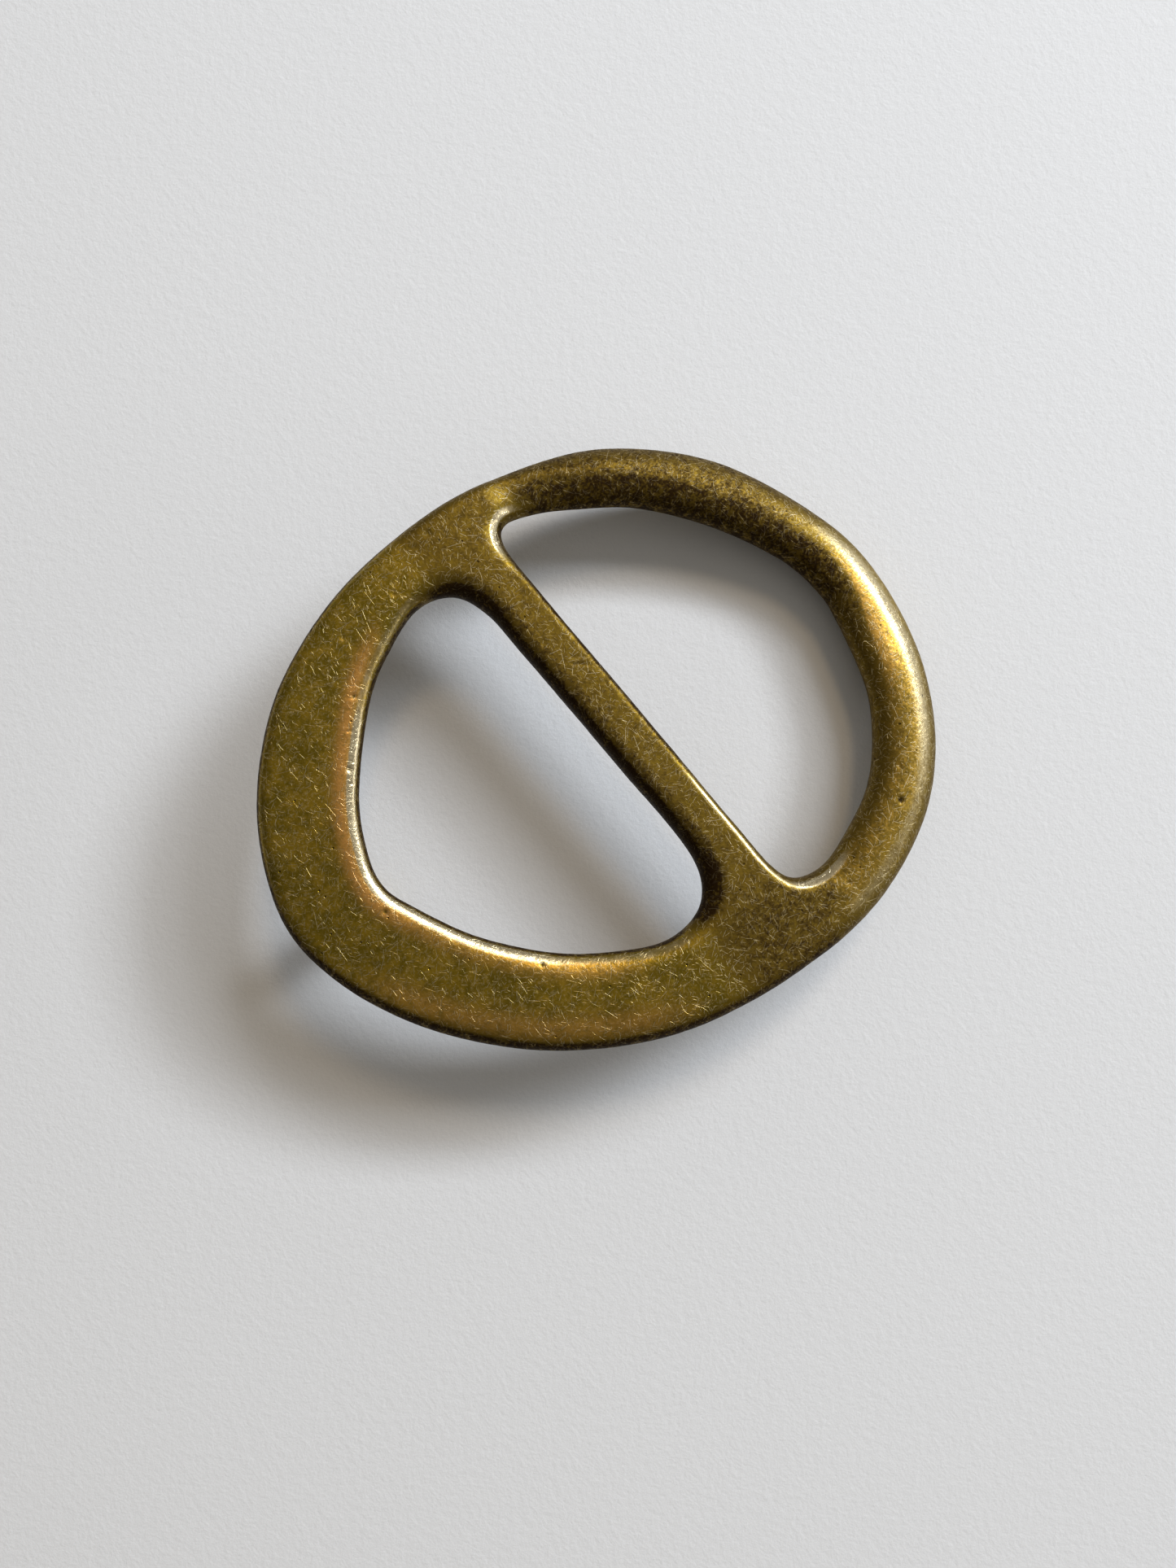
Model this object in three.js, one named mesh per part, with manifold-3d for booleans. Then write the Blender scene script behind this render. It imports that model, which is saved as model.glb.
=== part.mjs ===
// Centre-bar belt buckle: a one-piece brass casting with an oval-section ring for one half, a straight
// crossbar for the strap, and a broad flat bow for the other half, with a separate hook stud set into the
// bow's back. Millimetres, +Z up, lying as it rests on a table: on the ring's far end and on the stud's foot.
import * as THREE from 'three';
import { mergeVertices } from 'three/addons/utils/BufferGeometryUtils.js';
import Module from 'manifold-3d';

// Outlines of the casting seen square to its face, before it is bent and tilted: +X runs along the strap
// towards the ring, +Y runs along the crossbar. Each is a closed smooth curve through these points, listed
// anticlockwise.
const OUTER_EDGE = [
  [33.6, -2], [31.95, 6.7], [26.8, 16.4], [18.6, 23.5], [8.7, 27.15], [-1.2, 28.3],
  [-11.05, 27.3], [-20.6, 23.6], [-28.65, 16.5], [-33.25, 7.35], [-33, -1.15], [-28.45, -10.85],
  [-20.7, -19.35], [-10.2, -25.35], [1.8, -27.8], [13.05, -27.5], [23.6, -22.8], [31.05, -13.35],
];
const RING_OPENING = [
  [4.8, 16], [5.05, 6], [5.3, -4], [5.5, -13], [5.75, -18.2], [6.9, -20.6],
  [9.8, -21.45], [13.8, -20.5], [18.4, -18.5], [22, -15.2], [24.9, -10.8], [26.85, -4.1],
  [27.25, -0.5], [26.25, 4.25], [22.6, 11], [17.6, 16.9], [12.2, 20.6], [8.8, 22.4],
  [6.2, 23], [4.9, 21.2],
];
const BOW_OPENING = [
  [-9.8, 20.15], [-14.3, 17.45], [-20.35, 11.4], [-23.1, 6.7], [-23.95, 3.2], [-22.95, -0.05],
  [-20.1, -5.9], [-15.7, -11.4], [-11.1, -15.05], [-6.55, -17.4], [-2.5, -17.15], [-0.15, -14.5],
  [0.45, -10], [0.22, -3], [-0.04, 5], [-0.3, 13], [-0.55, 17.4], [-2.05, 20.55],
  [-5.4, 21.6],
];
const EDGE_STEP = 1.8; // spacing of the facets along an outline

// Section of the casting.
const RING_HALF_THICKNESS = 2.4;
const BAR_HALF_THICKNESS = 2.1;
const BOW_HALF_THICKNESS = 1.6;
const RING_EDGE_RADIUS = 3; // seen square to the face: half the ring's width, so its section is an oval
const BAR_EDGE_RADIUS = 1.7;
const BOW_OUTER_EDGE_RADIUS = 1.5;
const BOW_INNER_EDGE_RADIUS = 2.2;
const MAX_EDGE_SHARE = 0.46; // an edge radius never takes more than this share of the local width
const ROUND_STEPS = 4; // facets in a quarter of a rounded edge

// Where along x one part of the section passes into the next.
const BAR_TO_RING_THICKNESS = [5, 20];
const BOW_TO_BAR_THICKNESS = [-18, 0];
const OUTER_EDGE_CHANGE = [-8, 14];
const RING_OPENING_CHANGE = [5, 12];
const BOW_OPENING_CHANGE = [-8, -1];

// The face is bent to follow the waist, and the whole buckle lies tilted.
const BEND_RADIUS = 210;
const REST_TILT = THREE.MathUtils.degToRad(7.5);

// Hook stud, turned separately, with a spigot in a blind socket in the bow's back.
const STUD_X = -28.4;
const STUD_Y = 3;
const STUD_SHANK_RADIUS = 1.8;
const STUD_HEAD_RADIUS = 2.7;
const STUD_HEAD_HEIGHT = 3;
const STUD_FOOT_RADIUS = 1.4;
const STUD_COLLAR_RADIUS = 2.9;
const STUD_COLLAR_HEIGHT = 0.9;
const STUD_COLLAR_CONE = 0.6; // height of the taper from the shank out to the collar
const SPIGOT_RADIUS = 1.1;
const SPIGOT_LENGTH = 1.2;
const CLEARANCE = 0.3;
const SOCKET_OVERLAP = 0.5; // the cut for the socket starts this far below the casting's back
const TURNED_SIDES = 32;
const HEAD_STEPS = 6;

const smoothstep = THREE.MathUtils.smoothstep;
const lerp = THREE.MathUtils.lerp;

// Height of the bent middle surface above the chord through its highest point.
function bendHeight(x) {
  return Math.sqrt(BEND_RADIUS ** 2 - x ** 2) - BEND_RADIUS;
}

// The casting is thickest at the ring and thinnest at the bow.
function halfThickness(x) {
  const ringSide = lerp(BAR_HALF_THICKNESS, RING_HALF_THICKNESS, smoothstep(x, ...BAR_TO_RING_THICKNESS));
  return lerp(BOW_HALF_THICKNESS, ringSide, smoothstep(x, ...BOW_TO_BAR_THICKNESS));
}

function outerEdgeRadius(x) {
  return lerp(BOW_OUTER_EDGE_RADIUS, RING_EDGE_RADIUS, smoothstep(x, ...OUTER_EDGE_CHANGE));
}

function ringOpeningRadius(x) {
  return lerp(BAR_EDGE_RADIUS, RING_EDGE_RADIUS, smoothstep(x, ...RING_OPENING_CHANGE));
}

function bowOpeningRadius(x) {
  return lerp(BOW_INNER_EDGE_RADIUS, BAR_EDGE_RADIUS, smoothstep(x, ...BOW_OPENING_CHANGE));
}

// Evenly spaced points on the closed curve, with unit normals pointing left of the direction of travel.
function sampleOutline(points) {
  const curve = new THREE.CatmullRomCurve3(
    points.map(([x, y]) => new THREE.Vector3(x, y, 0)), true, 'catmullrom', 0.5,
  );
  const count = Math.round(curve.getLength() / EDGE_STEP);
  return Array.from({ length: count }, (_, i) => {
    const place = curve.getPointAt(i / count);
    const along = curve.getTangentAt(i / count);
    return { place, normal: new THREE.Vector3(-along.y, along.x, 0) };
  });
}

function distanceToOutline(place, outline) {
  return Math.min(...outline.map((other) => other.place.distanceTo(place)));
}

// One outline with what its rounded edge needs: material lies left of the outer edge and right of an opening.
function roundedEdge(outline, others, radiusAt, materialSide) {
  return outline.map(({ place, normal }) => {
    const localWidth = Math.min(...others.map((other) => distanceToOutline(place, other)));
    const radius = Math.min(radiusAt(place.x), MAX_EDGE_SHARE * localWidth);
    return { place, inward: normal.clone().multiplyScalar(materialSide), radius };
  });
}

// A point on the rounded edge: angle -90 degrees is on the back, 0 on the outline, 90 on the face.
function edgePoint({ place, inward, radius }, angle) {
  const point = place.clone().addScaledVector(inward, radius * (1 - Math.cos(angle)));
  point.z = bendHeight(point.x) + halfThickness(point.x) * Math.sin(angle);
  return point;
}

// The casting as one closed skin: a rounded wall round each outline, joined by the face and the back.
function castingGeometry() {
  const outer = sampleOutline(OUTER_EDGE);
  const ring = sampleOutline(RING_OPENING);
  const bow = sampleOutline(BOW_OPENING);
  const edges = [
    { side: 1, line: roundedEdge(outer, [ring, bow], outerEdgeRadius, 1) },
    { side: -1, line: roundedEdge(ring, [outer, bow], ringOpeningRadius, -1) },
    { side: -1, line: roundedEdge(bow, [outer, ring], bowOpeningRadius, -1) },
  ];
  const layers = 2 * ROUND_STEPS + 1;
  const positions = [];
  const triangles = [];
  const faceLoops = [];
  const backLoops = [];
  for (const { side, line } of edges) {
    const start = positions.length / 3;
    const vertex = (i, layer) => start + layer * line.length + (i % line.length);
    for (let layer = 0; layer < layers; layer += 1) {
      const angle = (layer / ROUND_STEPS - 1) * (Math.PI / 2);
      line.forEach((station) => positions.push(...edgePoint(station, angle).toArray()));
    }
    for (let layer = 0; layer < layers - 1; layer += 1) {
      for (let i = 0; i < line.length; i += 1) {
        const [a, b] = side > 0 ? [i, i + 1] : [i + 1, i];
        triangles.push(vertex(a, layer), vertex(b, layer), vertex(b, layer + 1));
        triangles.push(vertex(a, layer), vertex(b, layer + 1), vertex(a, layer + 1));
      }
    }
    faceLoops.push(line.map((_, i) => vertex(i, layers - 1)));
    backLoops.push(line.map((_, i) => vertex(i, 0)));
  }
  triangles.push(...coverTriangles(positions, faceLoops, false));
  triangles.push(...coverTriangles(positions, backLoops, true));
  const geometry = new THREE.BufferGeometry();
  geometry.setAttribute('position', new THREE.Float32BufferAttribute(positions, 3));
  geometry.setIndex(triangles);
  return geometry;
}

// Triangles between an outer loop and the two opening loops, turned over for the back.
function coverTriangles(positions, loops, turnedOver) {
  const flat = loops.map((loop) => loop.map((v) => new THREE.Vector2(positions[3 * v], positions[3 * v + 1])));
  const vertices = loops.flat();
  return THREE.ShapeUtils.triangulateShape(flat[0], flat.slice(1)).flatMap(([a, b, c]) => {
    const corners = turnedOver ? [a, c, b] : [a, b, c];
    return corners.map((corner) => vertices[corner]);
  });
}

// A turned solid about the Z axis from [radius, height] points, listed from the bottom up.
function turnedGeometry(profile) {
  const points = profile.map(([radius, height]) => new THREE.Vector2(radius, height));
  return new THREE.LatheGeometry(points, TURNED_SIDES).rotateX(Math.PI / 2);
}

function studGeometry(height) {
  const head = Array.from({ length: HEAD_STEPS + 1 }, (_, i) => {
    const turn = (i / HEAD_STEPS) * Math.PI;
    const middle = STUD_HEAD_HEIGHT / 2;
    const inner = turn < Math.PI / 2 ? STUD_FOOT_RADIUS : STUD_SHANK_RADIUS;
    return [lerp(inner, STUD_HEAD_RADIUS, Math.sin(turn)), middle - middle * Math.cos(turn)];
  });
  const collarBottom = height - STUD_COLLAR_HEIGHT;
  return turnedGeometry([
    [0, 0], ...head,
    [STUD_SHANK_RADIUS, collarBottom - STUD_COLLAR_CONE], [STUD_COLLAR_RADIUS, collarBottom],
    [STUD_COLLAR_RADIUS, height], [SPIGOT_RADIUS, height],
    [SPIGOT_RADIUS, height + SPIGOT_LENGTH], [0, height + SPIGOT_LENGTH],
  ]);
}

const wasm = await Module();
wasm.setup();

function toManifold(geometry) {
  const bare = geometry.clone();
  bare.deleteAttribute('normal');
  bare.deleteAttribute('uv');
  const merged = mergeVertices(bare, 1e-4);
  return new wasm.Manifold(new wasm.Mesh({
    numProp: 3,
    vertProperties: new Float32Array(merged.attributes.position.array),
    triVerts: new Uint32Array(merged.index.array),
  }));
}

function toGeometry(solid) {
  const mesh = solid.getMesh();
  const geometry = new THREE.BufferGeometry();
  geometry.setAttribute('position', new THREE.BufferAttribute(mesh.vertProperties, 3));
  geometry.setIndex(new THREE.BufferAttribute(mesh.triVerts, 1));
  return geometry;
}

// The casting as it lies at rest: tilted, with its lowest point on the table and its box centred on the origin.
function restingCasting() {
  const geometry = castingGeometry().rotateY(REST_TILT);
  geometry.computeBoundingBox();
  const { min, max } = geometry.boundingBox;
  const shift = new THREE.Vector3(-(min.x + max.x) / 2, -(min.y + max.y) / 2, -min.z);
  return { geometry: geometry.translate(shift.x, shift.y, shift.z), shift };
}

const casting = restingCasting();
const studSeat = new THREE.Vector3(STUD_X, STUD_Y, bendHeight(STUD_X) - halfThickness(STUD_X))
  .applyAxisAngle(new THREE.Vector3(0, 1, 0), REST_TILT)
  .add(casting.shift);
const studHeight = studSeat.z - CLEARANCE;

// Blind socket for the spigot, with clearance all round.
const socketDepth = SPIGOT_LENGTH + CLEARANCE;
const socketBottom = studHeight - SOCKET_OVERLAP;
const socketRadius = SPIGOT_RADIUS + CLEARANCE;
const socket = turnedGeometry([
  [0, socketBottom], [socketRadius, socketBottom],
  [socketRadius, studHeight + socketDepth], [0, studHeight + socketDepth],
]).translate(studSeat.x, studSeat.y, 0);

const agedBrass = () => new THREE.MeshStandardMaterial({ color: 0x8a713c, roughness: 0.42, metalness: 1 });

function named(name, geometry) {
  const mesh = new THREE.Mesh(geometry, agedBrass());
  mesh.name = name;
  return mesh;
}

const buckle = new THREE.Group();
buckle.add(named('buckle_casting', toGeometry(toManifold(casting.geometry).subtract(toManifold(socket)))));

const stud = named('hook_stud', studGeometry(studHeight));
stud.position.set(studSeat.x, studSeat.y, 0);
buckle.add(stud);

export default buckle;
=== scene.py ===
import math

import bpy
import numpy as np
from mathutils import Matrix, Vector, noise
from mathutils.kdtree import KDTree


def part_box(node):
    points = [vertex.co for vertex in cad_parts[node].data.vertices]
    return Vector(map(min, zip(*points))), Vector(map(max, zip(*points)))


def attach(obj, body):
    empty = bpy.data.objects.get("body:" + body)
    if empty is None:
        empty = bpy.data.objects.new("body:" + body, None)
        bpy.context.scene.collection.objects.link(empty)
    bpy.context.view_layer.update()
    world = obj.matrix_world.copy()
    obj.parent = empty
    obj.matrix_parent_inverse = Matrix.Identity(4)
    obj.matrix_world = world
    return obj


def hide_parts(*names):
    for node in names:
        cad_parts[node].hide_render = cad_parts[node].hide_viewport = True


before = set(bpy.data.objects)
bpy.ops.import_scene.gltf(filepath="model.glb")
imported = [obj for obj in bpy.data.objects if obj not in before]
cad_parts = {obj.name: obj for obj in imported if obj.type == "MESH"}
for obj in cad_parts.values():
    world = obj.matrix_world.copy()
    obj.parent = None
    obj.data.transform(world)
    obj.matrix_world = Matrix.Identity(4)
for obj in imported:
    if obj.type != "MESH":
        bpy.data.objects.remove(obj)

MM = 0.001

# The casting is shaped in its own design frame, in millimetres, as in the CAD part: seen square to
# its face, before it is bent and tilted, with +X along the strap towards the ring and +Y along the bar.
OUTER_EDGE = [
    (33.6, -2), (31.95, 6.7), (26.8, 16.4), (18.6, 23.5), (8.7, 27.15), (-1.2, 28.3),
    (-11.05, 27.3), (-20.6, 23.6), (-28.65, 16.5), (-33.25, 7.35), (-33, -1.15), (-28.45, -10.85),
    (-20.7, -19.35), (-10.2, -25.35), (1.8, -27.8), (13.05, -27.5), (23.6, -22.8), (31.05, -13.35),
]
RING_OPENING = [
    (4.8, 16), (5.05, 6), (5.3, -4), (5.5, -13), (5.75, -18.2), (6.9, -20.6),
    (9.8, -21.45), (13.8, -20.5), (18.4, -18.5), (22, -15.2), (24.9, -10.8), (26.85, -4.1),
    (27.25, -0.5), (26.25, 4.25), (22.6, 11), (17.6, 16.9), (12.2, 20.6), (8.8, 22.4),
    (6.2, 23), (4.9, 21.2),
]
BOW_OPENING = [
    (-9.8, 20.15), (-14.3, 17.45), (-20.35, 11.4), (-23.1, 6.7), (-23.95, 3.2), (-22.95, -0.05),
    (-20.1, -5.9), (-15.7, -11.4), (-11.1, -15.05), (-6.55, -17.4), (-2.5, -17.15), (-0.15, -14.5),
    (0.45, -10), (0.22, -3), (-0.04, 5), (-0.3, 13), (-0.55, 17.4), (-2.05, 20.55),
    (-5.4, 21.6),
]
UPPER_RING_CORNER = (5.6, 22.6)
LOWER_RING_CORNER = (8.8, -21.2)
UPPER_BOW_CORNER = (-3.2, 20.8)
LOWER_BOW_CORNER = (-1.6, -16.4)
UPPER_OUTER_CORNER = (7, 27)
RING_HALF_THICKNESS = 2.4
BAR_HALF_THICKNESS = 2.1
BOW_HALF_THICKNESS = 1.6
BEND_RADIUS = 210
REST_TILT = math.radians(7.5)
SKIN_INSET = 0.04  # keeps the finished surface just inside the CAD solid's box

# Pits in the upper face: place, reach and depth.
PITS = [
    (19.4, -21.3, 0.22, 0.25), (-25.3, 1.2, 0.25, 0.12), (-0.4, 26.3, 0.3, 0.08),
    (-6.4, 23.8, 0.3, 0.08), (24, 18.3, 0.22, 0.1), (19.7, 16.6, 0.22, 0.1),
    (-17.1, -11.7, 0.2, 0.12), (-18.8, -13.2, 0.25, 0.1), (21.5, -18.8, 0.22, 0.07),
    (1.7, 11.6, 0.4, 0.05), (4, 5.2, 0.25, 0.05), (-19.7, 13.6, 0.25, 0.1),
    (-15.2, 18.6, 0.22, 0.1), (-12.6, 23.5, 0.25, 0.07), (-8.4, -20.4, 0.25, 0.07),
    (10.2, -24.1, 0.3, 0.07),
]
# Straight nicks in the upper face: start, end, half width and depth.
NICKS = [
    ((2.5, 8.5), (4.2, 7.1), 0.08, 0.07), ((2.8, 9.1), (4.3, 7.9), 0.08, 0.06),
    ((-3.4, 26.6), (-2, 26), 0.1, 0.05), ((-17.2, 16.2), (-17.8, 16.5), 0.1, 0.05),
    ((-18.8, 13.8), (-19.4, 14.1), 0.1, 0.05), ((-19.9, 12.2), (-20.5, 12.5), 0.1, 0.06),
    ((-15.2, 18.6), (-15.8, 18.9), 0.1, 0.05),
]

# Unevenness from casting and wear, in millimetres: how high, and how far across.
WAVES = [(0.05, 7), (0.02, 2.4), (0.012, 0.8)]
WAVE_SINK = 0.03  # sinks the uneven skin, so that most of its humps stay below the smooth one

# The grid that the surface is first drawn on; it reaches past the outlines on all sides.
GRID_STEP = 0.3
GRID_LOW = (-35.1, -29.1, -3)
GRID_SIZE = (235, 195, 21)
RELAX_ROUNDS = 4
RELAX_SHARE = 0.6  # how far each vertex moves to the middle of its neighbours in a round


def smoothstep(value, low, high):
    t = np.clip((value - low) / (high - low), 0, 1)
    return t * t * (3 - 2 * t)


def lerp(a, b, t):
    return a + (b - a) * t


def hump(value, centre, reach):
    """1 at the centre, falling smoothly to 0 well outside the reach."""
    return np.exp(-((value - centre) ** 2) / (2 * reach**2))


def spot(x, y, centre, reach):
    """A round hump about a point."""
    return hump(x, centre[0], reach) * hump(y, centre[1], reach)


# ---------------------------------------------------------------- shape of the casting


def closed_curve(points, steps=40):
    """Points along the smooth closed curve (a uniform Catmull-Rom spline) through the given points."""
    p = np.array(points, float)
    before, after, after_next = np.roll(p, 1, 0), np.roll(p, -1, 0), np.roll(p, -2, 0)
    t = (np.arange(steps) / steps)[None, :, None]
    p0, p1, p2, p3 = (q[:, None, :] for q in (before, p, after, after_next))
    slope = p2 - p0
    square = 2 * p0 - 5 * p1 + 4 * p2 - p3
    cube = 3 * p1 - p0 - 3 * p2 + p3
    curve = 0.5 * (2 * p1 + slope * t + square * t**2 + cube * t**3)
    return curve.reshape(-1, 2)


def distance_inside(curve, xy):
    """Distance from each point to an anticlockwise closed curve, positive inside it."""
    tree = KDTree(len(curve))
    for i, (x, y) in enumerate(curve):
        tree.insert((x, y, 0), i)
    tree.balance()
    nearest = np.array([tree.find((x, y, 0))[1] for x, y in xy])
    best = np.full(len(xy), np.inf)
    for start, end in ((nearest - 1, nearest), (nearest, (nearest + 1) % len(curve))):
        a, along = curve[start], curve[end] - curve[start]
        t = np.clip(((xy - a) * along).sum(1) / (along**2).sum(1), 0, 1)
        best = np.minimum(best, np.hypot(*(xy - a - along * t[:, None]).T))
    tangent = np.roll(curve, -1, 0) - np.roll(curve, 1, 0)
    offset = xy - curve[nearest]
    side = tangent[nearest, 0] * offset[:, 1] - tangent[nearest, 1] * offset[:, 0]
    return np.where(side > 0, best, -best)


class PlanFields:
    """Distances into the metal from the three outlines, on a grid over the plan."""

    def __init__(self):
        self.x = GRID_LOW[0] + GRID_STEP * np.arange(GRID_SIZE[0])
        self.y = GRID_LOW[1] + GRID_STEP * np.arange(GRID_SIZE[1])
        xy = np.stack(np.meshgrid(self.x, self.y, indexing="ij"), -1).reshape(-1, 2)
        shape = GRID_SIZE[:2]
        self.outer = distance_inside(closed_curve(OUTER_EDGE), xy).reshape(shape)
        # An opening's inside holds no metal, so its distances change sign.
        self.ring = -distance_inside(closed_curve(RING_OPENING), xy).reshape(shape)
        self.bow = -distance_inside(closed_curve(BOW_OPENING), xy).reshape(shape)

    def read(self, field, x, y):
        """The field's value at each point, between the grid's points as well."""
        u = np.clip((x - GRID_LOW[0]) / GRID_STEP, 0, GRID_SIZE[0] - 1.001)
        v = np.clip((y - GRID_LOW[1]) / GRID_STEP, 0, GRID_SIZE[1] - 1.001)
        i, j = u.astype(int), v.astype(int)
        s, t = u - i, v - j
        low = field[i, j] * (1 - s) + field[i + 1, j] * s
        high = field[i, j + 1] * (1 - s) + field[i + 1, j + 1] * s
        return low * (1 - t) + high * t


def half_thickness(x):
    ring_side = lerp(BAR_HALF_THICKNESS, RING_HALF_THICKNESS, smoothstep(x, 5, 20))
    return lerp(BOW_HALF_THICKNESS, ring_side, smoothstep(x, -18, 0))


def outer_edge_radius(x, y):
    corner = spot(x, y, UPPER_OUTER_CORNER, 5)
    along = lerp(1.7, 3.15, smoothstep(x, 4, 18)) + 0.9 * smoothstep(-x, 2, 12) * smoothstep(-y, 4, 16)
    return lerp(along, 1.3, corner)


def ring_opening_radius(x, y):
    along_ring = lerp(0.9, 3.15, smoothstep(x, 5.4, 13))
    return along_ring + 2 * spot(x, y, UPPER_RING_CORNER, 2.2) + 0.9 * spot(x, y, LOWER_RING_CORNER, 3)


def bow_opening_radius(x, y):
    along_bow = lerp(2.2, 3.3, smoothstep(x, -22, -15) * smoothstep(-y, 2, 10))
    along_bow = lerp(along_bow, 1.6, smoothstep(x, -12, -3))
    return along_bow + 1.4 * spot(x, y, UPPER_BOW_CORNER, 3) + 1.6 * spot(x, y, LOWER_BOW_CORNER, 3)


def edge_squareness(x):
    """Exponent of the section's superellipse: 2 is round, more is squarer."""
    return lerp(2.4, 2, smoothstep(x, 4, 12))


def plan_rounding(x, y, distances):
    """How far the rounded edges take the section down: 0 on the flat, 1 on an outline, more outside."""
    radii = outer_edge_radius(x, y), ring_opening_radius(x, y), bow_opening_radius(x, y)
    power = edge_squareness(x)
    inset = [d - SKIN_INSET for d in distances]
    return sum(np.clip(1 - d / r, 0, None) ** power for d, r in zip(inset, radii))


def face_dip(x, y):
    """How far the upper face steps down where the ring leaves the junction at the bar's upper end."""
    return 0.55 * smoothstep(x, 5.8, 8.4) * (1 - smoothstep(x, 10, 19)) * hump(y, 24, 3)


def skin(x, y, h, rounding):
    """Negative inside the unbent casting, 0 on its surface. h is the height above the middle."""
    power = edge_squareness(x)
    raised = np.abs(h + face_dip(x, y) * smoothstep(h, 0, 1.2))
    share = raised / (half_thickness(x) - SKIN_INSET)
    return (rounding + share**power) ** (1 / power) - 1


def surface_net(values):
    """Vertices, in grid steps, and outward quads of the surface on which values changes sign."""
    inside = values < 0
    cells = np.array(values.shape)
    stride = np.array([cells[1] * cells[2], cells[2], 1])
    points, owners, quads = [], [], []
    for axis in range(3):
        step = np.eye(3, dtype=int)[axis]
        span = tuple(slice(0, n - s) for n, s in zip(cells, step))
        span_next = tuple(slice(s, n) for n, s in zip(cells, step))
        node = np.argwhere(inside[span] != inside[span_next])
        here, there = values[tuple(node.T)], values[tuple((node + step).T)]
        crossing = node + step * (here / (here - there))[:, None]
        side_b, side_c = stride[(axis + 1) % 3], stride[(axis + 2) % 3]
        corner = node @ stride
        loop = np.stack([corner, corner - side_b, corner - side_b - side_c, corner - side_c], 1)
        points.append(np.repeat(crossing, 4, 0))
        owners.append(loop.ravel())
        leaving = inside[tuple(node.T)]
        quads.append(np.where(leaving[:, None], loop, loop[:, ::-1]))
    owners, points = np.concatenate(owners), np.concatenate(points)
    cell_ids, vertex = np.unique(owners, return_inverse=True)
    count = np.bincount(vertex)
    vertices = np.stack([np.bincount(vertex, points[:, k]) / count for k in range(3)], 1)
    return vertices, np.searchsorted(cell_ids, np.concatenate(quads))


def neighbour_mean(vertices, quads):
    """The mean of each vertex's neighbours along the mesh's edges."""
    total = np.zeros_like(vertices)
    count = np.zeros(len(vertices))
    for k in range(4):
        a, b = quads[:, k], quads[:, (k + 1) % 4]
        for one, other in ((a, b), (b, a)):
            count += np.bincount(one, minlength=len(vertices))
            for axis in range(3):
                total[:, axis] += np.bincount(one, vertices[other, axis], len(vertices))
    return total / count[:, None]


class Casting:
    """The unbent casting as a function of position, and the mesh drawn on its surface."""

    def __init__(self):
        self.plan = PlanFields()

    def distances(self, x, y):
        """How far in each point is from the outer edge, the ring opening and the bow opening."""
        fields = self.plan.outer, self.plan.ring, self.plan.bow
        return [self.plan.read(field, x, y) for field in fields]

    def value(self, p):
        """Negative inside the casting, 0 on its surface."""
        x, y, h = p.T
        return skin(x, y, h, plan_rounding(x, y, self.distances(x, y)))

    def settle(self, p, rounds=3):
        """Moves points onto the surface along its slope."""
        probe = 0.02
        flattest = 1e-4
        for _ in range(rounds):
            now = self.value(p)
            slope = np.stack([(self.value(p + probe * e) - now) / probe for e in np.eye(3)], 1)
            p = p - slope * (now / np.maximum((slope**2).sum(1), flattest))[:, None]
        return p

    def mesh(self):
        """Evenly spread vertices on the surface, and the quads between them."""
        x, y = np.meshgrid(self.plan.x, self.plan.y, indexing="ij")
        h = GRID_LOW[2] + GRID_STEP * np.arange(GRID_SIZE[2])
        rounding = plan_rounding(x, y, (self.plan.outer, self.plan.ring, self.plan.bow))
        vertices, quads = surface_net(skin(x[..., None], y[..., None], h, rounding[..., None]))
        p = self.settle(np.array(GRID_LOW) + GRID_STEP * vertices)
        for _ in range(RELAX_ROUNDS):
            p = self.settle(lerp(p, neighbour_mean(p, quads), RELAX_SHARE), 1)
        return p, quads


def bend_height(x):
    """Height of the bent middle surface: the face follows the waist."""
    return np.sqrt(BEND_RADIUS**2 - x**2) - BEND_RADIUS


def mesh_object(name, vertices, faces):
    mesh = bpy.data.meshes.new(name)
    mesh.from_pydata(vertices.tolist(), [], faces)
    mesh.validate()
    made = bpy.data.objects.new(name, mesh)
    bpy.context.scene.collection.objects.link(made)
    return made


def apply_modifiers(piece):
    graph = bpy.context.evaluated_depsgraph_get()
    piece.data = bpy.data.meshes.new_from_object(piece.evaluated_get(graph))
    piece.modifiers.clear()


def coordinates(piece):
    flat = np.empty(len(piece.data.vertices) * 3, np.float32)
    piece.data.vertices.foreach_get("co", flat)
    return flat.reshape(-1, 3).astype(float)


def normals(piece):
    flat = np.empty(len(piece.data.vertices) * 3, np.float32)
    piece.data.vertex_normals.foreach_get("vector", flat)
    return flat.reshape(-1, 3).astype(float)


def to_rest(p):
    """From the design frame to the resting frame, up to a shift: bent, then tilted about Y."""
    x, y, h = p.T
    z = h + bend_height(x)
    turn_x = x * math.cos(REST_TILT) + z * math.sin(REST_TILT)
    turn_z = z * math.cos(REST_TILT) - x * math.sin(REST_TILT)
    return np.stack([turn_x, y, turn_z], 1)


def rest_shift(rested):
    """The shift that centres the points over the CAD casting and stands them where it stands."""
    low, high = (np.array(corner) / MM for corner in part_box("buckle_casting"))
    own_low, own_high = rested.min(0), rested.max(0)
    shift = (low + high) / 2 - (own_low + own_high) / 2
    shift[2] = low[2] + SKIN_INSET - own_low[2]
    return shift


def waviness(p, size, seed):
    """Smooth noise in -1..1 whose bumps are about size millimetres across."""
    offset = Vector((seed * 17.3, seed * 5.1, seed * 9.7))
    return np.array([noise.noise(Vector(q) / size + offset) for q in p])


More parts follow.
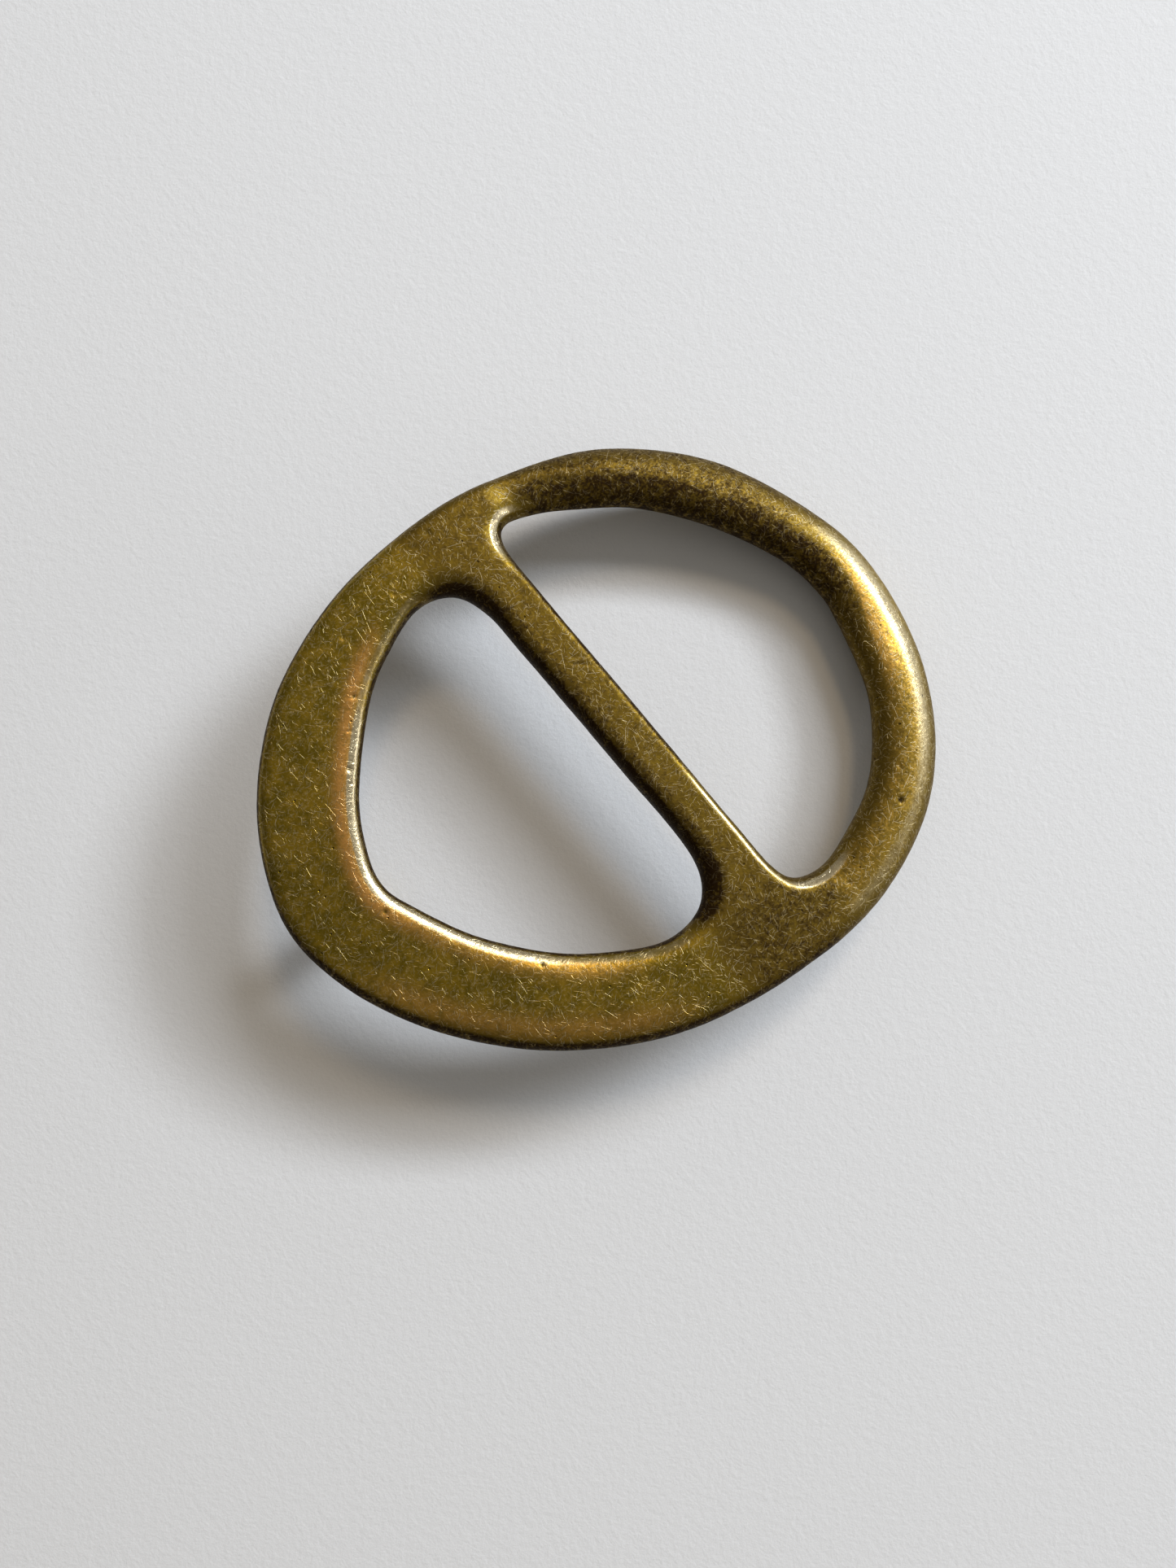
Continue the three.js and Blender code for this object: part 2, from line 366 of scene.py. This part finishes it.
def distance_to_segment(x, y, start, end):
    run = np.array(end) - start
    t = np.clip(((x - start[0]) * run[0] + (y - start[1]) * run[1]) / (run @ run), 0, 1)
    return np.hypot(x - start[0] - t * run[0], y - start[1] - t * run[1])


def dent_depth(design):
    """Depth of the pits and nicks under each point; they are in the upper face alone."""
    x, y, h = design.T
    depth = np.zeros(len(design))
    for pit_x, pit_y, reach, deep in PITS:
        depth = np.maximum(depth, deep * np.exp(-(((x - pit_x) ** 2 + (y - pit_y) ** 2) / reach**2)))
    for start, end, half_width, deep in NICKS:
        away = distance_to_segment(x, y, start, end)
        depth = np.maximum(depth, deep * np.exp(-((away / half_width) ** 2)))
    return depth * (h > 0)


# ---------------------------------------------------------------- how worn and dark the casting is, and where shade and highlights are painted on it


class Place:
    """Where each point of the skin is: in the design frame, in from each outline, and on which part."""

    def __init__(self, casting, design):
        self.x, self.y, h = design.T
        self.outer, self.ring, self.bow = casting.distances(self.x, self.y)
        self.upper = smoothstep(h / half_thickness(self.x), -0.2, 0.4)
        self.on_ring = smoothstep(self.x, 5, 10)
        self.on_bow = 1 - smoothstep(self.x, -6, -2)
        self.dents = dent_depth(design)


def bar_tarnish_and_shade(at):
    """Painted shade on the bar's wall and slope at the bow opening, which face away from the light, and
    dark tarnish along most of its other edge.
    """
    on_bar = smoothstep(at.x, -2, -0.4)
    wall = on_bar * (1 - smoothstep(at.bow, 0.5, 1.4))
    slope = 0.7 * on_bar * (1 - smoothstep(at.bow, 1.7, 3))
    other_edge = 0.95 * smoothstep(at.x, 3.2, 4.4) * (1 - smoothstep(at.x, 5.6, 6.6))
    other_edge = other_edge * (1 - smoothstep(at.ring, 0.3, 1.1)) * smoothstep(at.y, -14, -4)
    return np.maximum.reduce([wall, slope, other_edge])


def corner_tarnish_and_shade(at):
    """Near black in the bow opening's two corners beside the bar: tarnish, and painted shade in these
    recesses.
    """
    upper = spot(at.x, at.y, (-0.5, 19.2), 3) * (1 - smoothstep(at.bow, 0.5, 1.7))
    lower = spot(at.x, at.y, (0, -15.4), 3) * (1 - smoothstep(at.bow, 0.6, 2.6))
    return np.clip(1.8 * np.maximum(upper, lower), 0, 1.2)


def ring_tarnish_and_shade(at):
    """Brown tarnish all over the ring. The dark band on its inner side and the extra dark at the top
    are painted shade where the ring turns from the light; the dark low on the outer rim is tarnish.
    """
    far = smoothstep(at.y, -10, 2)
    band_start, band_end = lerp(1.2, 2.2, far), lerp(3, 4.1, far)
    inner_side = lerp(0.55, 0.82, far) * (1 - smoothstep(at.ring, band_start, band_end))
    towards_ends = np.maximum(smoothstep(at.y, -4, 8), 0.6 * smoothstep(-at.y, 8, 16))
    face = lerp(0.42, 0.72, towards_ends)
    rim = 0.5 * smoothstep(1.5 - at.outer, 0, 0.8) * smoothstep(-at.y, 9, 17)
    return at.on_ring * np.maximum.reduce([inner_side, face, rim])


def bow_rim_shade(at):
    """Painted shade: dark round the bow's outer rim and in a thin line along the wall of its opening.
    """
    rim_width = lerp(0.7, 1.3, smoothstep(-at.y, -14, 4))
    rim = 0.9 * (1 - at.on_ring) * smoothstep(rim_width - at.outer, 0, 0.6)
    line = 0.9 * at.on_bow * (1 - smoothstep(at.bow, 0.15, 0.45))
    return np.maximum(rim, line)


def middle_patina(at):
    """The bar's face and the junctions at its two ends are duller than the bow."""
    level = lerp(0.22, 0.6, smoothstep(at.x, -6, -1)) + 0.1 * smoothstep(-at.y, 16, 22)
    return level * smoothstep(at.x, -14, -4) * (1 - smoothstep(at.x, 8, 14))


def crown_wear_and_sheen(at):
    """Worn along the ring's crown, less so towards its two ends, and a painted highlight where the
    crown catches the light.
    """
    along = 1 - 0.85 * smoothstep(at.y, -1, 14) - 0.25 * smoothstep(-at.y, 16, 24)
    return 0.75 * at.on_ring * hump(at.outer, 1.9, 0.85) * along


def bow_edge_wear_and_highlight(at):
    """Bright just inside the edge of the bow's opening, most of all at its far side: worn, and a
    painted highlight where that edge catches the light.
    """
    edge = at.on_bow * smoothstep(at.bow, 0.15, 0.45) * (1 - smoothstep(at.bow, 0.9, 1.4))
    return edge * lerp(0.45, 1, smoothstep(-at.x, 14, 19))


def ring_corner_wear_and_highlight(at):
    """Bright bevels round the ring opening's two corners: worn, and a painted highlight on the bevels.
    """
    bevel = smoothstep(at.ring, 0.3, 0.6) * (1 - smoothstep(at.ring, 1, 1.4))
    upper = spot(at.x, at.y, (5.2, 22.8), 2)
    lower = spot(at.x, at.y, LOWER_RING_CORNER, 2.4)
    return bevel * np.clip(1.3 * np.maximum(upper, lower), 0, 1)


def bar_edge_highlight(at):
    """A painted highlight: a bright line along the lower part of the bar's edge at the ring opening."""
    on_edge = smoothstep(at.x, 3.4, 4) * (1 - smoothstep(at.x, 5.5, 7)) * hump(at.ring, 0.75, 0.2)
    return 0.7 * on_edge * smoothstep(-at.y, 2, 9)


def copper_and_warm_reflection(at):
    """Coppery on the bow's slopes into its opening and towards its outer edge, and low on the ring:
    partly a coppery tint and partly a painted warm reflection.
    """
    inward = at.on_bow * hump(at.bow, 1.7, 0.55) * smoothstep(-at.x, 8, 14)
    inward = inward * lerp(0.35, 1, smoothstep(at.y, -6, 4))
    outward = 0.45 * hump(at.outer, 2.2, 0.9) * smoothstep(-at.x, 6, 14) * smoothstep(-at.y, 0, 8)
    on_ring = 0.6 * at.on_ring * hump(at.ring, 2.4, 1) * smoothstep(5 - at.y, 0, 8)
    return at.upper * np.maximum.reduce([inward, outward, on_ring])


def surface_masks(casting, design):
    """How worn and lit by painted highlights, how dark with tarnish and painted shade, and how coppery
    with a painted warm reflection each point of the skin is, from 0 to 1.
    """
    at = Place(casting, design)
    crown = crown_wear_and_sheen(at)
    edges = np.maximum(ring_corner_wear_and_highlight(at), bar_edge_highlight(at))
    wear_and_sheen = at.upper * np.maximum.reduce([crown, edges, bow_edge_wear_and_highlight(at)])
    # Painted shade: the underside of the casting is darkened.
    below = 0.7 * (1 - at.upper)
    in_dents = 6 * at.dents
    makers = bar_tarnish_and_shade, corner_tarnish_and_shade, ring_tarnish_and_shade, bow_rim_shade, middle_patina
    patina_and_shade = np.maximum.reduce([make(at) for make in makers] + [below, in_dents])
    # Tarnish and painted shade are thinned where the crown is worn and where the highlights are
    # painted.
    patina_and_shade = patina_and_shade * (1 - 0.75 * np.maximum(0.7 * crown, edges))
    return {"wear_and_sheen": np.clip(wear_and_sheen, 0, 1), "patina_and_shade": np.clip(patina_and_shade, 0, 1), "copper_and_reflection": copper_and_warm_reflection(at)}


def store_masks(piece, masks):
    for name, values in masks.items():
        layer = piece.data.attributes.new(name, "FLOAT", "POINT")
        layer.data.foreach_set("value", values.astype(np.float32))


def surface_push(design, facing_up):
    """How far the skin is pushed out: a little below the CAD surface, uneven, and in at the dents."""
    waves = [height * waviness(design, size, seed) for seed, (height, size) in enumerate(WAVES, 1)]
    return sum(waves) - WAVE_SINK - dent_depth(design) * smoothstep(facing_up, 0.5, 0.9)


def make_casting(material):
    casting = Casting()
    design, quads = casting.mesh()
    piece = mesh_object("buckle_casting_body", design, quads.tolist())
    smooth = piece.modifiers.new("smooth", "SUBSURF")
    smooth.levels = 1
    apply_modifiers(piece)
    design = coordinates(piece)
    masks = surface_masks(casting, design)
    outward = normals(piece)
    rested = to_rest(design + outward * surface_push(design, outward[:, 2])[:, None])
    placed = (rested + rest_shift(rested)) * MM
    piece.data.vertices.foreach_set("co", placed.astype(np.float32).ravel())
    piece.data.update()
    piece.data.shade_smooth()
    store_masks(piece, masks)
    piece.data.materials.append(material)
    return piece


# ---------------------------------------------------------------- hook stud under the bow

SPIGOT_LENGTH = 1.2
CLEARANCE = 0.3
BRAZE_OVERLAP = 0.4  # how far the braze's top runs up into the casting
STUD_SIDES = 72
STUD_STEPS = 6  # points along the profile's curve for each point given


def stud_profile(seat):
    """Radius and height of the stud's outline, from the middle of its foot up to the casting's back."""
    head = [(0, 0.02), (0.9, 0.04), (1.7, 0.23), (2.4, 0.8), (2.64, 1.5), (2.35, 2.3), (1.86, 2.95)]
    shank = [(1.72, 3.8), (1.72, seat - 2.6), (1.8, seat - 1.7)]
    braze = [(2.05, seat - 1), (2.5, seat - 0.4), (2.8, seat), (2.84, seat + 0.25)]
    half = head + shank + braze + [(0, seat + BRAZE_OVERLAP)]
    other_half = [(-radius, height) for radius, height in half[-2:0:-1]]
    return closed_curve(half + other_half, STUD_STEPS)[1 : (len(half) - 1) * STUD_STEPS]


def turned(profile):
    """The profile's points turned about the upright axis, and the faces between them."""
    turn = np.arange(STUD_SIDES) * 2 * math.pi / STUD_SIDES
    radius, height = profile[:, :1], profile[:, 1:]
    rings = np.stack([radius * np.cos(turn), radius * np.sin(turn), height + 0 * turn], -1)
    rings = rings.reshape(-1, 3)
    here = np.arange(STUD_SIDES)
    there = (here + 1) % STUD_SIDES
    below = STUD_SIDES * np.arange(len(profile) - 1)[:, None]
    above = below + STUD_SIDES
    walls = np.stack([below + here, below + there, above + there, above + here], -1).reshape(-1, 4)
    foot, top = here[::-1], len(rings) - STUD_SIDES + here
    return rings, walls.tolist() + [foot.tolist(), top.tolist()]


def stud_masks(rings):
    """The head's edge is worn by the strap; the shank and the braze are dark."""
    height, radius = rings[:, 2], np.hypot(rings[:, 0], rings[:, 1])
    above_head = smoothstep(height, 2.2, 3.4)
    head_edge = hump(height, 1.3, 0.7) * smoothstep(radius, 2, 2.5)
    return {"wear_and_sheen": 0.8 * head_edge, "patina_and_shade": lerp(0.42, 0.66, above_head), "copper_and_reflection": 0 * height}


def make_stud(material):
    low, high = (np.array(corner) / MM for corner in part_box("hook_stud"))
    rings, faces = turned(stud_profile(high[2] - SPIGOT_LENGTH + CLEARANCE))
    axis = np.array([(low[0] + high[0]) / 2, (low[1] + high[1]) / 2, 0])
    uneven = 1 + 0.012 * waviness(rings, 2.5, 11)
    placed = rings * np.stack([uneven, uneven, np.ones(len(rings))], 1) + axis
    stud = mesh_object("hook_stud_body", placed * MM, faces)
    stud.data.shade_smooth()
    store_masks(stud, stud_masks(rings))
    stud.data.materials.append(material)
    return stud


# ---------------------------------------------------------------- materials


class Net:
    """Adds nodes to one material; most inputs can be handed a socket or a plain value."""

    def __init__(self, name):
        self.material = bpy.data.materials.new(name)
        self.material.use_nodes = True
        self.tree = self.material.node_tree
        self.shader = self.tree.nodes["Principled BSDF"]
        self.place = self.scaled(self.node("ShaderNodeTexCoord").outputs["Object"], 1 / MM)
        self.normal = self.node("ShaderNodeNewGeometry").outputs["Normal"]

    def node(self, kind, **settings):
        made = self.tree.nodes.new(kind)
        for name, value in settings.items():
            setattr(made, name, value)
        return made

    def feed(self, socket, value):
        if isinstance(value, bpy.types.NodeSocket):
            self.tree.links.new(value, socket)
        else:
            socket.default_value = value

    def vector(self, operation, *values):
        made = self.node("ShaderNodeVectorMath", operation=operation)
        for socket, value in zip(made.inputs, values):
            self.feed(socket, value)
        return made.outputs["Value" if operation in ("DOT_PRODUCT", "LENGTH") else "Vector"]

    def scaled(self, vector, factor):
        made = self.node("ShaderNodeVectorMath", operation="SCALE")
        self.feed(made.inputs["Vector"], vector)
        made.inputs["Scale"].default_value = factor
        return made.outputs["Vector"]

    def math(self, operation, *values):
        made = self.node("ShaderNodeMath", operation=operation)
        for socket, value in zip(made.inputs, values):
            self.feed(socket, value)
        return made.outputs["Value"]

    def plus(self, one, other):
        return self.math("ADD", one, other)

    def times(self, one, other):
        return self.math("MULTIPLY", one, other)

    def ramp(self, value, low, high, to_low=0, to_high=1):
        """value from low to high becomes to_low to to_high, smoothly and without going past them."""
        made = self.node("ShaderNodeMapRange", interpolation_type="SMOOTHSTEP")
        self.feed(made.inputs["Value"], value)
        limits = {"From Min": low, "From Max": high, "To Min": to_low, "To Max": to_high}
        for name, limit in limits.items():
            made.inputs[name].default_value = limit
        return made.outputs["Result"]

    def blend(self, factor, one, other):
        """A mix of two colours; inputs 6 and 7 and output 2 are the node's colour ones."""
        made = self.node("ShaderNodeMix", data_type="RGBA")
        self.feed(made.inputs["Factor"], factor)
        self.feed(made.inputs[6], one)
        self.feed(made.inputs[7], other)
        return made.outputs[2]

    def attribute(self, name):
        return self.node("ShaderNodeAttribute", attribute_name=name).outputs["Fac"]

    def shifted(self, seed):
        return self.vector("ADD", self.place, (seed * 13.7, seed * 7.3, seed * 3.1))

    def noise(self, size, seed, detail=2, rough=0.5):
        """Smooth noise around 0.5 with bumps about size millimetres across."""
        made = self.node("ShaderNodeTexNoise")
        self.feed(made.inputs["Vector"], self.shifted(seed))
        made.inputs["Scale"].default_value = 1 / size
        made.inputs["Detail"].default_value = detail
        made.inputs["Roughness"].default_value = rough
        return made.outputs["Fac"]

    def cells(self, size, seed):
        """Offset from the middle of the nearest random cell, and that cell's random vector."""
        place = self.shifted(seed)
        made = self.node("ShaderNodeTexVoronoi")
        self.feed(made.inputs["Vector"], place)
        made.inputs["Scale"].default_value = 1 / size
        return self.vector("SUBTRACT", place, made.outputs["Position"]), made.outputs["Color"]

    def pick(self, vector, axis):
        made = self.node("ShaderNodeSeparateXYZ")
        self.feed(made.inputs["Vector"], vector)
        return made.outputs[axis]

    def scratches(self, size, length, width, seed):
        """Short straight hairlines in the surface, one to a cell, each its own way and strength."""
        away, chance = self.cells(size, seed)
        turn = self.vector("SUBTRACT", chance, (0.5, 0.5, 0.5))
        along = self.vector("NORMALIZE", self.vector("CROSS_PRODUCT", self.normal, turn))
        across = self.vector("CROSS_PRODUCT", self.normal, along)
        from_line = self.math("ABSOLUTE", self.vector("DOT_PRODUCT", away, across))
        from_middle = self.math("ABSOLUTE", self.vector("DOT_PRODUCT", away, along))
        line = self.ramp(from_line, width / 2, width / 5)
        ends = self.ramp(from_middle, length / 2, length / 4)
        strength = self.ramp(self.pick(chance, "Z"), 0.35, 1)
        return self.times(self.times(line, ends), strength)

    def scratch_layers(self, layers, length, width):
        """Several layers of scratches; length is for each millimetre of the cells' size."""
        made = [self.scratches(size, length * size, width, seed) for size, seed in layers]
        top = made[0]
        for layer in made[1:]:
            top = self.math("MAXIMUM", top, layer)
        return top

    def pinholes(self, size, radius, share, seed):
        """Round pinholes in the given share of the cells."""
        away, chance = self.cells(size, seed)
        off_surface = self.vector("MULTIPLY", self.normal, self.height_of(away))
        flat = self.vector("SUBTRACT", away, off_surface)
        hole = self.ramp(self.vector("LENGTH", flat), radius, radius * 0.4)
        chosen = self.math("GREATER_THAN", self.pick(chance, "X"), 1 - share)
        return self.times(hole, chosen)

    def height_of(self, away):
        """How far the offset stands off the surface, as a vector of three equal numbers."""
        height = self.vector("DOT_PRODUCT", away, self.normal)
        made = self.node("ShaderNodeCombineXYZ")
        for socket in made.inputs:
            self.feed(socket, height)
        return made.outputs["Vector"]

    def bump(self, height, depth, below=None):
        """A normal from height, where 1 stands depth millimetres proud."""
        made = self.node("ShaderNodeBump")
        made.inputs["Distance"].default_value = depth * MM
        self.feed(made.inputs["Height"], height)
        if below is not None:
            self.feed(made.inputs["Normal"], below)
        return made.outputs["Normal"]


# Layers of scratches: the size of the cells that hold one scratch each, in millimetres, and the seed.
BRUSHING = [(0.5, 20), (0.62, 21), (0.74, 22)]
HAIRLINES = [(0.9, 4), (1.3, 5), (2.2, 7), (0.75, 8)]

# The bright gold also paints highlights, the brown and the near-black also paint shade, and the coppery
# colour also paints a warm reflection.
WORN_GOLD_AND_SHEEN = (0.67, 0.57, 0.36, 1)
AGED_BRASS = (0.4, 0.262, 0.022, 1)
OLIVE_BRASS = (0.23, 0.162, 0.012, 1)
BROWN_PATINA_AND_SHADE = (0.135, 0.086, 0.012, 1)
DARK_PATINA_AND_SHADE = (0.022, 0.011, 0.003, 1)
COPPER_AND_WARM_REFLECTION = (0.75, 0.39, 0.1, 1)
PAPER_WHITE = (0.8, 0.815, 0.84, 1)


class Brass(Net):
    """Antiqued brass: worn bright where it rubs, brown-black in the hollows, finely scratched, with
    shade and highlights painted into its colour.
    """

    def __init__(self, name):
        super().__init__(name)
        self.blotches = self.noise(3.2, seed=1, detail=3, rough=0.6)
        self.mottle = self.noise(0.8, seed=2, detail=3, rough=0.6)
        self.speckle = self.noise(0.24, seed=3)
        self.brushing = self.scratch_layers(BRUSHING, length=0.8, width=0.07)
        self.hairlines = self.scratch_layers(HAIRLINES, length=1, width=0.065)
        self.pits = self.pinholes(size=1.7, radius=0.13, share=0.1, seed=9)
        wear_and_sheen = self.plus(self.attribute("wear_and_sheen"), self.times(self.mottle, 0.5))
        self.rubbed_and_sheen = self.ramp(wear_and_sheen, 0.5, 1.1)
        self.grime_and_shade = self.uneven_grime_and_shade(self.attribute("patina_and_shade"))

    def uneven_grime_and_shade(self, patina_and_shade):
        """The tarnish and painted shade, patchy where they are thick."""
        patches = self.ramp(self.mottle, 0.25, 0.75, -0.22, 0.22)
        specks = self.ramp(self.speckle, 0.25, 0.75, -0.2, 0.2)
        thick = self.ramp(patina_and_shade, 0.55, 0.95, 0.35, 1)
        return self.ramp(self.plus(patina_and_shade, self.times(self.plus(patches, specks), thick)), -0.1, 1.1)

    def clean_metal(self):
        """Olive and yellow brass in blotches, coppery with a painted warm reflection in places, and
        golden where it is worn and where highlights are painted.
        """
        tone = self.plus(self.times(self.blotches, 0.5), self.times(self.mottle, 0.5))
        base = self.blend(self.ramp(tone, 0.38, 0.62), OLIVE_BRASS, AGED_BRASS)
        base = self.blend(self.times(self.ramp(self.speckle, 0.5, 0.72), 0.25), base, WORN_GOLD_AND_SHEEN)
        copper_and_reflection_share = self.times(self.attribute("copper_and_reflection"), self.ramp(self.mottle, 0.1, 0.5))
        base = self.blend(copper_and_reflection_share, base, COPPER_AND_WARM_REFLECTION)
        return self.blend(self.rubbed_and_sheen, base, WORN_GOLD_AND_SHEEN)

    def colour(self):
        """The clean metal under its tarnish and painted shade, with pale scratches where that is thin,
        and dark pits.
        """
        base = self.blend(self.ramp(self.grime_and_shade, 0.05, 0.65), self.clean_metal(), BROWN_PATINA_AND_SHADE)
        base = self.blend(self.ramp(self.grime_and_shade, 0.55, 1), base, DARK_PATINA_AND_SHADE)
        marks = self.math("MAXIMUM", self.hairlines, self.times(self.brushing, 0.6))
        marks = self.times(marks, self.ramp(self.grime_and_shade, 1, 0.3, 0.12, 1))
        base = self.blend(self.times(marks, 0.85), base, WORN_GOLD_AND_SHEEN)
        return self.blend(self.times(self.pits, 0.7), base, DARK_PATINA_AND_SHADE)

    def roughness(self):
        rough = self.ramp(self.grime_and_shade, 0.1, 0.5, 0.35, 0.54)
        rough = self.math("SUBTRACT", rough, self.times(self.rubbed_and_sheen, 0.1))
        return self.plus(rough, self.times(self.math("SUBTRACT", self.speckle, 0.5), 0.2))

    def relief(self):
        """The normal: pits, cast grain, brushing and hairlines, with their depths in millimetres."""
        pitted = self.bump(self.pits, -0.04)
        grained = self.bump(self.plus(self.mottle, self.times(self.speckle, 0.7)), 0.025, pitted)
        brushed = self.bump(self.brushing, 0.008, grained)
        return self.bump(self.hairlines, -0.012, brushed)


def make_brass(name):
    brass = Brass(name)
    inputs = brass.shader.inputs
    brass.feed(inputs["Base Color"], brass.colour())
    brass.feed(inputs["Metallic"], brass.ramp(brass.grime_and_shade, 0.5, 1, 1, 0.3))
    brass.feed(inputs["Roughness"], brass.roughness())
    brass.feed(inputs["Specular IOR Level"], brass.ramp(brass.grime_and_shade, 0.2, 0.9, 0.25, 0.03))
    brass.feed(inputs["Coat Weight"], brass.ramp(brass.grime_and_shade, 0, 0.7, 0.06, 0))
    inputs["Coat Roughness"].default_value = 0.3
    brass.feed(inputs["Normal"], brass.relief())
    return brass.material


def make_paper():
    net = Net("paper")
    fibres = net.noise(0.7, seed=1, detail=5, rough=0.7)
    net.shader.inputs["Base Color"].default_value = PAPER_WHITE
    net.shader.inputs["Roughness"].default_value = 0.9
    net.feed(net.shader.inputs["Normal"], net.bump(fibres, 0.06))
    return net.material


# ---------------------------------------------------------------- camera, floor and light

CAMERA_HEIGHT = 0.1206
CAMERA_PLACE = (-0.00267, -0.00137)
CAMERA_TURN = math.radians(-38.7)
CAMERA_LENS = 27


def picture_direction(right, up):
    """The level direction in the scene that runs so far right and so far up in the picture."""
    c, s = math.cos(CAMERA_TURN), math.sin(CAMERA_TURN)
    return Vector((right * c - up * s, right * s + up * c, 0)).normalized()


def make_camera():
    data = bpy.data.cameras.new("camera")
    data.lens = CAMERA_LENS
    data.clip_start = 0.005
    camera = bpy.data.objects.new("camera", data)
    camera.location = (*CAMERA_PLACE, CAMERA_HEIGHT)
    camera.rotation_euler = (0, 0, CAMERA_TURN)
    bpy.context.scene.collection.objects.link(camera)
    bpy.context.scene.camera = camera


def aim(light, towards_light):
    """Puts the light out in that direction and points it back at the middle of the scene."""
    light.location = towards_light * LIGHT_DISTANCE
    light.rotation_euler = towards_light.to_track_quat("Z", "Y").to_euler()
    bpy.context.scene.collection.objects.link(light)


def light_direction(right, up, elevation):
    flat = picture_direction(right, up)
    raised = math.radians(elevation)
    return Vector((flat.x * math.cos(raised), flat.y * math.cos(raised), math.sin(raised)))


WINDOW_HEIGHT = 0.8
WINDOW_COLOUR = (0.95, 1, 1.06)
PANE_SIZE = (0.6, 0.304)
# The window's four panes: how far right and up in the picture, in window heights, and the watts.
# The further ones need more. The upper two light the floor nearly twice as much as the lower two.
PANES = [((0.825, 0.85), 3.2), ((1.575, 0.85), 11.2), ((0.825, 1.23), 10.6), ((1.575, 1.23), 27.4)]

# The other lights' directions are right and up in the picture, and degrees above the table.
LIGHT_DISTANCE = 1
LAMP_DIRECTION = (0.26, 0.966, 49)
LAMP_COLOUR = (1, 0.72, 0.4)
LAMP_STRENGTH = 0.38
LAMP_WIDTH = math.radians(11)
REFLECTOR_DIRECTION = (0.996, -0.087, 14)
REFLECTOR_SIZE = (0.75, 0.14)
REFLECTOR_WATTS = 1
BRIGHT_SIDE = (0.5, 0.866, 45)
ROOM_COLOUR = (1, 0.93, 0.82)
ROOM_DARKEST = 0.06
ROOM_BRIGHTEST = 0.35


def make_window():
    """A broad window, up and to the right in the picture, as four panes that face down."""
    for number, ((right, up), power) in enumerate(PANES):
        data = bpy.data.lights.new(f"window_{number}", "AREA")
        data.shape = "RECTANGLE"
        data.size, data.size_y = PANE_SIZE
        data.energy = power
        data.color = WINDOW_COLOUR
        pane = bpy.data.objects.new(data.name, data)
        pane.location = (picture_direction(1, 0) * right + picture_direction(0, 1) * up) * WINDOW_HEIGHT
        pane.location.z = WINDOW_HEIGHT
        pane.rotation_euler = (0, 0, CAMERA_TURN)
        bpy.context.scene.collection.objects.link(pane)


def make_lamp():
    """A small warm lamp, high up beyond the top of the picture."""
    data = bpy.data.lights.new("lamp", "SUN")
    data.energy = LAMP_STRENGTH
    data.angle = LAMP_WIDTH
    data.color = LAMP_COLOUR
    aim(bpy.data.objects.new("lamp", data), light_direction(*LAMP_DIRECTION))


def make_reflector():
    """A faint low strip of light on the right, which the polished inner edge of the bow catches."""
    data = bpy.data.lights.new("reflector", "AREA")
    data.shape = "RECTANGLE"
    data.size, data.size_y = REFLECTOR_SIZE
    data.energy = REFLECTOR_WATTS
    aim(bpy.data.objects.new("reflector", data), light_direction(*REFLECTOR_DIRECTION))


def make_world():
    """A plain room, brighter on the window's side."""
    world = bpy.data.worlds.new("room")
    world.use_nodes = True
    tree = world.node_tree
    place = tree.nodes.new("ShaderNodeTexCoord")
    towards_window = tree.nodes.new("ShaderNodeVectorMath")
    towards_window.operation = "DOT_PRODUCT"
    towards_window.inputs[1].default_value = light_direction(*BRIGHT_SIDE)
    strength = tree.nodes.new("ShaderNodeMapRange")
    limits = {"From Min": -0.3, "From Max": 1, "To Min": ROOM_DARKEST, "To Max": ROOM_BRIGHTEST}
    for name, limit in limits.items():
        strength.inputs[name].default_value = limit
    background = tree.nodes["Background"]
    background.inputs["Color"].default_value = (*ROOM_COLOUR, 1)
    tree.links.new(place.outputs["Generated"], towards_window.inputs[0])
    tree.links.new(towards_window.outputs["Value"], strength.inputs["Value"])
    tree.links.new(strength.outputs["Result"], background.inputs["Strength"])
    bpy.context.scene.world = world


def make_floor():
    half = 1.5
    corners = np.array([(-half, -half, 0), (half, -half, 0), (half, half, 0), (-half, half, 0)])
    floor = mesh_object("floor", corners, [(0, 1, 2, 3)])
    floor.data.materials.append(make_paper())


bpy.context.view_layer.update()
make_camera()
make_floor()
make_window()
make_lamp()
make_reflector()
make_world()
bpy.context.scene.view_settings.view_transform = "Standard"

body = make_casting(make_brass("aged_brass"))
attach(body, "root")
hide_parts("buckle_casting")
stud = make_stud(make_brass("stud_brass"))
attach(stud, "root")
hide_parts("hook_stud")
